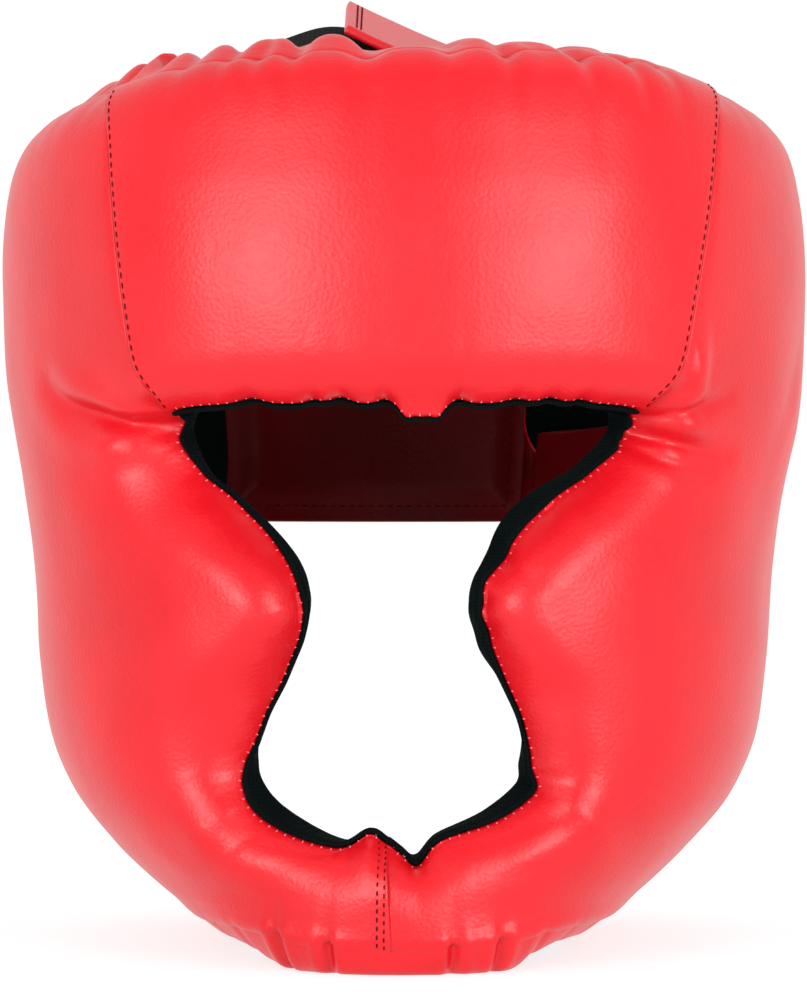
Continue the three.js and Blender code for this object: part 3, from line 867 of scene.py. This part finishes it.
SETTLED_MOST = 2  # the most that the leather of a pad moves
EVENING = 8  # how often its moves are evened out
SETTLING_FRAMES = 20
COARSER = 4  # how many steps of a pad make one step of its coarse copy
SETTLING_LEATHER = dict(
    vertex_group_mass="held",
    quality=6,
    mass=0.0005,
    tension_stiffness=2,
    compression_stiffness=2,
    tension_damping=1,
    compression_damping=1,
    shear_stiffness=0.7,
    bending_stiffness=0.5,
    air_damping=0,
    use_pressure=True,
    uniform_pressure_force=12,
)


def settled(pad, steps):
    """How the foam presses the leather of a pad out, over a grid of u and v.

    A coarse copy of the pad, held at its edges and its lining, settles as cloth under pressure."""
    bm, spots, start = shaped(steps, pad.points)
    cover = new_object("settling", bm, LEATHER)
    scene = bpy.context.scene
    inner = spots[:, 2] > 0.5
    rim = np.minimum(spots, 1 - spots)[:, :2].min(axis=1) < 0.01
    cover.vertex_groups.new(name="held").add(np.flatnonzero(rim | inner).tolist(), 1, "REPLACE")
    cloth = cover.modifiers.new("cloth", "CLOTH")
    cloth.collision_settings.use_collision = False
    for key, value in SETTLING_LEATHER.items():
        setattr(cloth.settings, key, value)
    cloth.settings.effector_weights.gravity = 0
    for moment in range(1, SETTLING_FRAMES + 1):
        scene.frame_set(moment)
    pressed = cover.evaluated_get(bpy.context.evaluated_depsgraph_get())
    moves = (np.array([vert.co for vert in pressed.data.vertices]) - start) / MM
    bpy.data.objects.remove(cover)
    scene.frame_set(1)
    length = np.linalg.norm(moves, axis=1, keepdims=True)
    moves *= np.minimum(1, SETTLED_MOST / np.maximum(length, 1e-6))
    outer = spots[:, 2] < 0.5
    grid = np.zeros((steps[0] + 1, steps[1] + 1, 3))
    place = np.rint(spots[outer, :2] * steps[:2]).astype(int)
    grid[place[:, 0], place[:, 1]] = moves[outer]
    for _ in range(EVENING):
        grid[1:-1] = (grid[:-2] + 2 * grid[1:-1] + grid[2:]) / 4
        grid[:, 1:-1] = (grid[:, :-2] + 2 * grid[:, 1:-1] + grid[:, 2:]) / 4
    return grid


def over_grid(grid, u, v):
    """Smooth values between the places of a grid over u and v."""
    counts = np.array(grid.shape[:2]) - 1
    spans = np.clip(np.stack([u, v], axis=1), 0, 1) * counts
    cells = np.minimum(spans.astype(int), counts - 1)
    t = spans - cells
    weights = [
        t * (t * (2 - t) - 1) / 2,
        t * t * (3 * t - 5) / 2 + 1,
        t * (t * (4 - 3 * t) + 1) / 2,
        t * t * (t - 1) / 2,
    ]
    values = np.zeros((len(u), 3))
    for i in range(4):
        for j in range(4):
            row = np.clip(cells[:, 0] + i - 1, 0, counts[0])
            column = np.clip(cells[:, 1] + j - 1, 0, counts[1])
            values += grid[row, column] * (weights[i][:, 0] * weights[j][:, 1])[:, None]
    return values


def padded_panel(name, pad, steps, node, slack):
    """A pad in leather. It starts slack, that far inside its full shape, until the foam presses it out."""
    place = pad.points
    pad.slack = slack
    moves = settled(pad, (steps[0] // COARSER, steps[1] // COARSER, 2))

    def place(u, v, t):
        return pad.points(u, v, t) + over_grid(moves, u, v) * (1 - t)[:, None]

    piece, _ = bent(name, steps, place, LEATHER)
    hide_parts(node)


padded_panel("forehead_cushion", forehead, (180, 110, 8), "forehead_pad", slack=0.3)
for side, pad in side_pads.items():
    padded_panel("side_cushion_" + side, pad, (140, 260, 8), "side_pad_" + side, slack=1.8)


# Sheets of cloth and leather

def sheet_piece(name, steps, place, finish, node):
    material, slot = finish
    piece, spots = bent(name, steps, place, material)
    smoother(piece)
    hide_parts(node)
    return piece, spots


CLOTH = 1.3
CLOTH_GAP = 0.3  # between the cloth and the pad
STRIP = 1.4
STRIP_GAP = 0.05


def lining_place(pad):
    def place(u, v, w):
        angle, z = pad.at(u, v)
        inner = pad.points(u, v, np.ones_like(u))
        return inner - through(angle, z) * (CLOTH_GAP + w * CLOTH)[:, None]

    return place


def binding_place(pad, over, u, v):
    """A cloth band round the wall of an edge; u and v each give where it starts and ends."""

    def place(s, t, w):
        return pad.points(lerp(*u, s), lerp(*v, s), t, over, CLOTH_GAP + w * CLOTH)

    return place


PUFF_POWER = 0.7  # how round a puff is


def strip_bulge(puffs, s):
    """How far a gathered strip stands out: puffs give where each ends, at a thread, and its height."""
    ends, heights = np.array(puffs).T
    i = np.clip(np.searchsorted(ends, s), 0, len(ends) - 1)
    start = np.where(i > 0, ends[i - 1], 0)
    t = np.clip((s - start) / (ends[i] - start), 0, 1)
    return heights[i] * np.sin(np.pi * t) ** PUFF_POWER


# Puffs of the top strip along its way from the right rear to the left rear: where each ends and its height
TOP_PUFFS = (
    (0.05, 2.6), (0.085, 3), (0.13, 2.6), (0.18, 3.2), (0.228, 3.6), (0.275, 6), (0.31, 7.5), (0.348, 8.5),
    (0.372, 5), (0.4, 4.4), (0.436, 4.6), (0.47, 3.6), (0.521, -1.2), (0.554, 2), (0.574, 1.4), (0.595, 1.4),
    (0.618, 2), (0.645, 2), (0.679, 2.4), (0.73, 2.4), (0.77, 2.8), (0.83, 2.4), (0.88, 3), (0.93, 2.6),
    (0.965, 2.8), (1, 2.4),
)
# Across the top strip, from the leather to the lining: where it starts, under the leather's rim and that
# much lower, where it is clear of the rim, and where its puffs are full and start to fall
TUCK, TUCK_DEPTH, TUCK_END = 0.08, -1.1, 0.28
PUFF_FULL, PUFF_FALL = 0.36, 0.6
PUFF_SLANT, PUFF_MIDDLE = 0.025, 0.3  # how far the puffs lean along the strip, and from where


def top_strip_place(s, t, w):
    points = np.zeros((len(s), 3))
    t = lerp(TUCK, 1, t)
    rise = smoothstep(t, TUCK, PUFF_FULL) * (1 - smoothstep(t, PUFF_FALL, 1))
    bulge = strip_bulge(TOP_PUFFS, s + PUFF_SLANT * (t - PUFF_MIDDLE)) * rise
    tuck = lerp(TUCK_DEPTH, STRIP_GAP, smoothstep(t, TUCK, TUCK_END))
    proud = tuck + w * STRIP + bulge
    stretch = 3 * s
    routes = (
        (right_pad, stretch < 1, 1 - stretch),
        (forehead, (stretch >= 1) & (stretch <= 2), stretch - 1),
        (left_pad, stretch > 2, stretch - 2),
    )
    for pad, on, share in routes:
        u = np.clip(share[on], 0, 1)
        points[on] = pad.points(u, np.ones_like(u), t[on], "v1", proud[on])
    return points


BOTTOM_PUFF = 0.2  # height of the lower strip's puffs
BOTTOM_START, BOTTOM_TUCK = 0.003, 0.1  # where across it starts, and is clear of the leather's rim
# Where the lower strip's puffs end along its way from the right end to the left end
BOTTOM_ENDS = [0.5 - 0.5 * v / JAW_SHARE for v in reversed(right_pad.bottom_places)]
BOTTOM_ENDS += [0.5 + 0.5 * v / JAW_SHARE for v in left_pad.bottom_places] + [1.0]
BOTTOM_PUFFS = [(end, BOTTOM_PUFF) for end in BOTTOM_ENDS]


def bottom_strip_place(s, t, w):
    points = np.zeros((len(s), 3))
    t = lerp(BOTTOM_START, 1, t**2)
    bulge = strip_bulge(BOTTOM_PUFFS, s) * np.sin(np.pi * t**0.5)
    for pad, on, share in ((right_pad, s < 0.5, 1 - 2 * s), (left_pad, s >= 0.5, 2 * s - 1)):
        v = np.clip(share[on], 0, 1) * JAW_SHARE
        tuck = lerp(-STRIP, STRIP_GAP, smoothstep(t[on], 0, BOTTOM_TUCK))
        proud = tuck + w[on] * STRIP + bulge[on]
        points[on] = pad.points(np.ones_like(v), v, t[on], "u1", proud, lift=(1 - w[on]) * STRIP)
    return points


sheet_piece(
    "forehead_cloth", (40, 24, 1), lining_place(forehead), BLACK,
    "forehead_lining",
)
for side, pad in side_pads.items():
    sheet_piece(
        "side_cloth_" + side, (40, 75, 1), lining_place(pad), BLACK,
        "side_lining_" + side,
    )
sheet_piece(
    "brow_edging", (120, 8, 1), binding_place(forehead, "v0", (0.01, 0.99), (0, 0)), BLACK,
    "brow_binding",
)
for side, pad in side_pads.items():
    sheet_piece(
        "face_edging_" + side, (200, 8, 1), binding_place(pad, "u0", (0, 0), (0, EYE_SHARE - 0.004)), BLACK,
        "face_binding_" + side,
    )
sheet_piece(
    "top_gather", (420, 10, 1), top_strip_place, RED,
    "top_strip",
)
sheet_piece(
    "bottom_gather", (300, 8, 1), bottom_strip_place, RED,
    "bottom_strip",
)


# Back panel and its strap

BACK = dict(low=108, high=196, length=95, outer=9, inner=17, end=157, hem=1.2)
BACK_RIM, BACK_THIN = 11, 0.25  # over what distance the back panel thins to its edges, and to what share
BACK_STRAP = dict(low=113, high=134, thick=2.2)
BACK_STRAP_PATH = table(
    "angle depth",
    (119, 31),
    (132, 27),
    (143, 24.5),
    (151.5, 22),
    (155, 14),
    (158, 6),
    (169, 5),
    (183, 5),
    (198, 5),
)


def back_panel_place(s, v, w):
    z = lerp(BACK["low"], BACK["high"], v)
    start = np.radians(curve(REAR_EDGE["z"], REAR_EDGE["right"], z) + BACK["hem"])
    angle = lerp(-start, np.radians(BACK["end"] - 360), s)
    height = BACK["high"] - BACK["low"]
    rim = np.minimum(np.minimum(v, 1 - v) * height, np.minimum(s, 1 - s) * BACK["length"])
    full = lerp(BACK_THIN, 1, smoothstep(rim, 0, BACK_RIM))
    middle = (BACK["inner"] + BACK["outer"]) / 2
    half = (BACK["inner"] - BACK["outer"]) / 2 * full
    return shell(angle, z) - through(angle, z) * (middle + (2 * w - 1) * half)[:, None]


def back_strap_place(s, v, w):
    stops = np.linspace(0, 1, len(BACK_STRAP_PATH["angle"]))
    z = lerp(BACK_STRAP["low"], BACK_STRAP["high"], v)
    angle = np.radians(curve(stops, BACK_STRAP_PATH["angle"], s))
    depth = curve(stops, BACK_STRAP_PATH["depth"], s) - w * BACK_STRAP["thick"]
    return shell(angle, z) - through(angle, z) * depth[:, None]


def paint_inner_shade(piece, inner):
    """Paint shade on the faces on the head's side, away from the light, by giving them the darker copy of
    the leather.
    """
    piece.data.materials.append(PAINTED_SHADE_LEATHER)
    for face in piece.data.polygons:
        if all(inner(i) for i in face.vertices):
            face.material_index = 1


back_panel, back_spots = bent("back_cushion", (60, 48, 4), back_panel_place, LEATHER)
# Painted shade on the inner faces of the back panel and of its strap
paint_inner_shade(back_panel, lambda i: back_spots[i][2] > 0.4)
smoother(back_panel)
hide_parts("back_panel")
back_strap, strap_spots = sheet_piece(
    "back_tab", (90, 16, 1), back_strap_place, RED,
    "back_strap",
)
paint_inner_shade(back_strap, lambda i: strap_spots[i][2] < 0.5)


# Crown flap and strap

CROWN_FLAT = 0.2, 0.8  # how much a strap faces up where its tilt starts and is full
CROWN_FLAP = dict(width=46, thick=2.4, y=-6, tilt=14)
CROWN_FLAP_LINE = table(
    "x z", (-71, 196), (-69, 208), (-58, 221), (-44, 230), (-30, 236.5), (-18, 239), (-2, 235), (14, 228)
)
CROWN_STRAP = dict(width=38, thick=2.6, y=-4, tilt=17)
CROWN_STRAP_LINE = table(
    "x z", (-15.4, 246), (-6, 241.5), (10, 234.5), (28, 228), (46, 221), (60, 214), (69, 206), (71, 196)
)


def crown_place(size, line):
    """A flat strap along a line of heights, tilted down to the front where it lies flat."""
    stops = np.linspace(0, 1, len(line["x"]))
    step = 0.02

    def middle(s):
        x, z = curve(stops, line["x"], s), curve(stops, line["z"], s)
        return np.stack([x, np.full(len(s), size["y"]), z], axis=1)

    def place(s, v, w):
        along = middle(np.clip(s + step, 0, 1)) - middle(np.clip(s - step, 0, 1))
        up = unit(np.stack([-along[:, 2], np.zeros(len(s)), along[:, 0]], axis=1))
        tilt = np.radians(size["tilt"]) * smoothstep(np.abs(up[:, 2]), *CROWN_FLAT)
        across = np.stack([np.zeros(len(s)), np.cos(tilt), np.sin(tilt)], axis=1)
        thick, wide = (w - 0.5) * size["thick"], (v - 0.5) * size["width"]
        return middle(s) + up * thick[:, None] + across * wide[:, None]

    return place


sheet_piece(
    "crown_loop", (90, 24, 1), crown_place(CROWN_FLAP, CROWN_FLAP_LINE), BLACK_LOOP,
    "crown_flap",
)
sheet_piece(
    "crown_tab", (90, 24, 1), crown_place(CROWN_STRAP, CROWN_STRAP_LINE), RED,
    "crown_strap",
)


# Stitches

def on_leather(pad, u, v):
    """Points of a pad's leather and the way out of it there."""
    step = 0.003
    flat = np.zeros_like(u)
    across = pad.points(np.clip(u + step, 0, 1), v, flat) - pad.points(np.clip(u - step, 0, 1), v, flat)
    up = pad.points(u, np.clip(v + step, 0, 1), flat) - pad.points(u, np.clip(v - step, 0, 1), flat)
    normals = unit(np.cross(across, up))
    normals *= np.sign(dot(normals, through(*pad.at(u, v))))[:, None]
    return pad.points(u, v, flat), normals


def sewn_row(pitch, place):
    """A row of stitches pitch apart: their points, the ways out and the ways along the row.

    place gives the points and the ways out for shares of the way."""
    shares = np.linspace(0, 1, 400)
    steps = np.linalg.norm(np.diff(place(shares)[0], axis=0), axis=1)
    length = np.concatenate([[0], np.cumsum(steps)])
    stops = np.arange(0.5 * pitch, length[-1], pitch)
    points, outwards = place(np.interp(stops, length, shares))
    return points, outwards, unit(np.gradient(points, axis=0))


def stitches(name, rows, half_length, half_width, sunk, thread, crosswise=False):
    """Short oval stitches in rows, along each row or across it, sunk a little into what they hold."""
    bm = bmesh.new()
    for points, outwards, ways in rows:
        for point, out, way in zip(points, outwards, ways):
            side = unit(np.cross(out, way))
            long, wide = (side, way) if crosswise else (way, side)
            high = unit(np.cross(long, wide))
            axes = np.stack([long * half_length, wide * half_width, high * half_width], axis=1)
            turn = Matrix(axes * MM).to_4x4()
            turn.translation = (point - out * sunk + SHIFT) * MM
            bmesh.ops.create_icosphere(bm, subdivisions=1, radius=1, matrix=turn)
    bmesh.ops.recalc_face_normals(bm, faces=bm.faces[:])
    piece = new_object(name, bm, thread)
    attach(piece, "root")


PITCH = dict(seam=2.6, opening=2.5, chin=2.2, strap=2.4, panel=2.8)


def pad_row(pitch, pad, u, v):
    """A row on a pad's leather; u and v each give where it starts and ends."""
    return sewn_row(pitch, lambda s: on_leather(pad, lerp(*u, s), lerp(*v, s)))


def opening_rows():
    pitch = PITCH["opening"]
    sides = [pad_row(pitch, pad, (0.003, 0.003), (0.02, EYE_SHARE - 0.01)) for pad in side_pads.values()]
    return sides + [pad_row(pitch, forehead, (0.02, 0.98), (0.004, 0.004))]


def chin_row(x):
    """A row down the chin bar beside its seam, at x from the front."""

    def place(s):
        u = lerp(0.02, 0.97, s)
        beside = np.linspace(0, 0.1, 41)
        lines = [shell(*right_pad.at(np.full_like(beside, at), beside)) for at in u]
        v = [np.interp(-x, -line[:, 0], beside) for line in lines]
        return on_leather(right_pad, u, np.array(v))

    return sewn_row(PITCH["chin"], place)


def strap_row(share):
    """A row across the crown strap, at a share of its way."""
    lay = crown_place(CROWN_STRAP, CROWN_STRAP_LINE)

    def place(s):
        ends = np.full_like(s, share)
        across = lerp(0.06, 0.94, s)
        top = lay(ends, across, np.ones_like(s))
        return top, unit(top - lay(ends, across, np.zeros_like(s)))

    return sewn_row(PITCH["strap"], place)


def panel_row(along, up, over):
    """A row on the back panel, on its inner face if over is 1; along and up say from where to where."""

    def place(s):
        spot = lerp(*along, s), lerp(*up, s)
        face = back_panel_place(*spot, np.full_like(s, over))
        return face, unit(face - back_panel_place(*spot, np.full_like(s, 1 - over)))

    return sewn_row(PITCH["panel"], place)


def panel_edges(over):
    low, high = 0.05, 0.95
    ways = (((low, high), (low, low)), ((low, high), (high, high)), ((high, high), (low, high)))
    return [panel_row(along, up, over) for along, up in ways]


SUNK, RAISED = 0.05, -0.05
seam_rows = [pad_row(PITCH["seam"], forehead, (u, u), (0.02, 0.99)) for u in (0.008, 0.992)]
chin_rows = [chin_row(x) for x in (-4.9, -6.6)]
strap_rows = [strap_row(share) for share in (0.04, 0.06)]
stitches("forehead_seam_stitches", seam_rows, 0.95, 0.32, SUNK, RED_THREAD_AND_HOLE_SHADE)
stitches("opening_stitches", opening_rows(), 0.6, 0.26, SUNK, PALE_THREAD, crosswise=True)
stitches("chin_stitches", chin_rows, 0.75, 0.26, SUNK, RED_THREAD_AND_HOLE_SHADE)
stitches("back_stitches", panel_edges(1.0) + panel_edges(0.0), 1, 0.35, RAISED, RED_THREAD_AND_HOLE_SHADE)
stitches("crown_stitches", strap_rows, 0.9, 0.32, RAISED, RED_THREAD_AND_HOLE_SHADE)


# Stage, lights and camera

def plain_floor():
    floor = bmesh.new()
    bmesh.ops.create_grid(floor, x_segments=1, y_segments=1, size=12)
    paint = Finish("pale_floor")
    colour = paint.mix(paint.noise(size=40, detail=2), (0.3, 0.315, 0.315, 1), (0.315, 0.33, 0.33, 1))
    paint.set(Emission_Color=(1, 1, 1, 1), Emission_Strength=0.74)
    paint.set(Base_Color=colour, Roughness=0.9, Specular_IOR_Level=0.1)
    new_object("floor", floor, paint.material)


def softbox(name, place, aim, size, power):
    lamp = bpy.data.lights.new(name, "AREA")
    lamp.shape = "RECTANGLE"
    lamp.size, lamp.size_y = size
    lamp.energy = power
    light = bpy.data.objects.new(name, lamp)
    light.location = place
    light.rotation_euler = (Vector(aim) - Vector(place)).to_track_quat("-Z", "Y").to_euler()
    bpy.context.scene.collection.objects.link(light)


def studio():
    middle = (0, 0, 0.12)
    for name, x, y in (("left", -0.70, -1.16), ("right", 0.78, -1.10)):
        softbox("key_" + name, (x, y, 0.36), middle, size=(0.84, 1.25), power=9)
        softbox("core_" + name, (x, y + 0.03, 0.16), middle, size=(0.5, 0.62), power=6)
    world = bpy.data.worlds.new("studio")
    sky = Nodes(world)
    way = sky.add("ShaderNodeTexCoord", {}, {})["Generated"]
    rear = sky.add("ShaderNodeSeparateXYZ", {}, {"Vector": way})["Y"]
    dimming = {"Value": rear, "From Min": -0.5, "From Max": 0.3, "To Min": 0.62, "To Max": 1.0}
    strength = sky.add("ShaderNodeMapRange", {"interpolation_type": "SMOOTHSTEP"}, dimming)["Result"]
    sky.fill(sky.tree.nodes["Background"], {"Color": (1, 1, 1, 1), "Strength": strength})
    scene = bpy.context.scene
    scene.world = world
    scene.view_settings.view_transform = "Standard"


CAMERA_DISTANCE = 1117  # from the tables' middle
CAMERA_HEIGHT = 115.6 + SHIFT[2]
FOCAL_PIXELS = 4127
IMAGE_HEIGHT = 1000


def photographer():
    sensor = 36
    lens = bpy.data.cameras.new("camera")
    lens.sensor_fit = "VERTICAL"
    lens.sensor_height = sensor
    lens.lens = FOCAL_PIXELS / IMAGE_HEIGHT * sensor
    lens.clip_end = 50
    camera = bpy.data.objects.new("camera", lens)
    camera.location = (0, (SHIFT[1] - CAMERA_DISTANCE) * MM, CAMERA_HEIGHT * MM)
    camera.rotation_euler = (math.pi / 2, 0, 0)
    bpy.context.scene.collection.objects.link(camera)
    bpy.context.scene.camera = camera


plain_floor()
studio()
photographer()
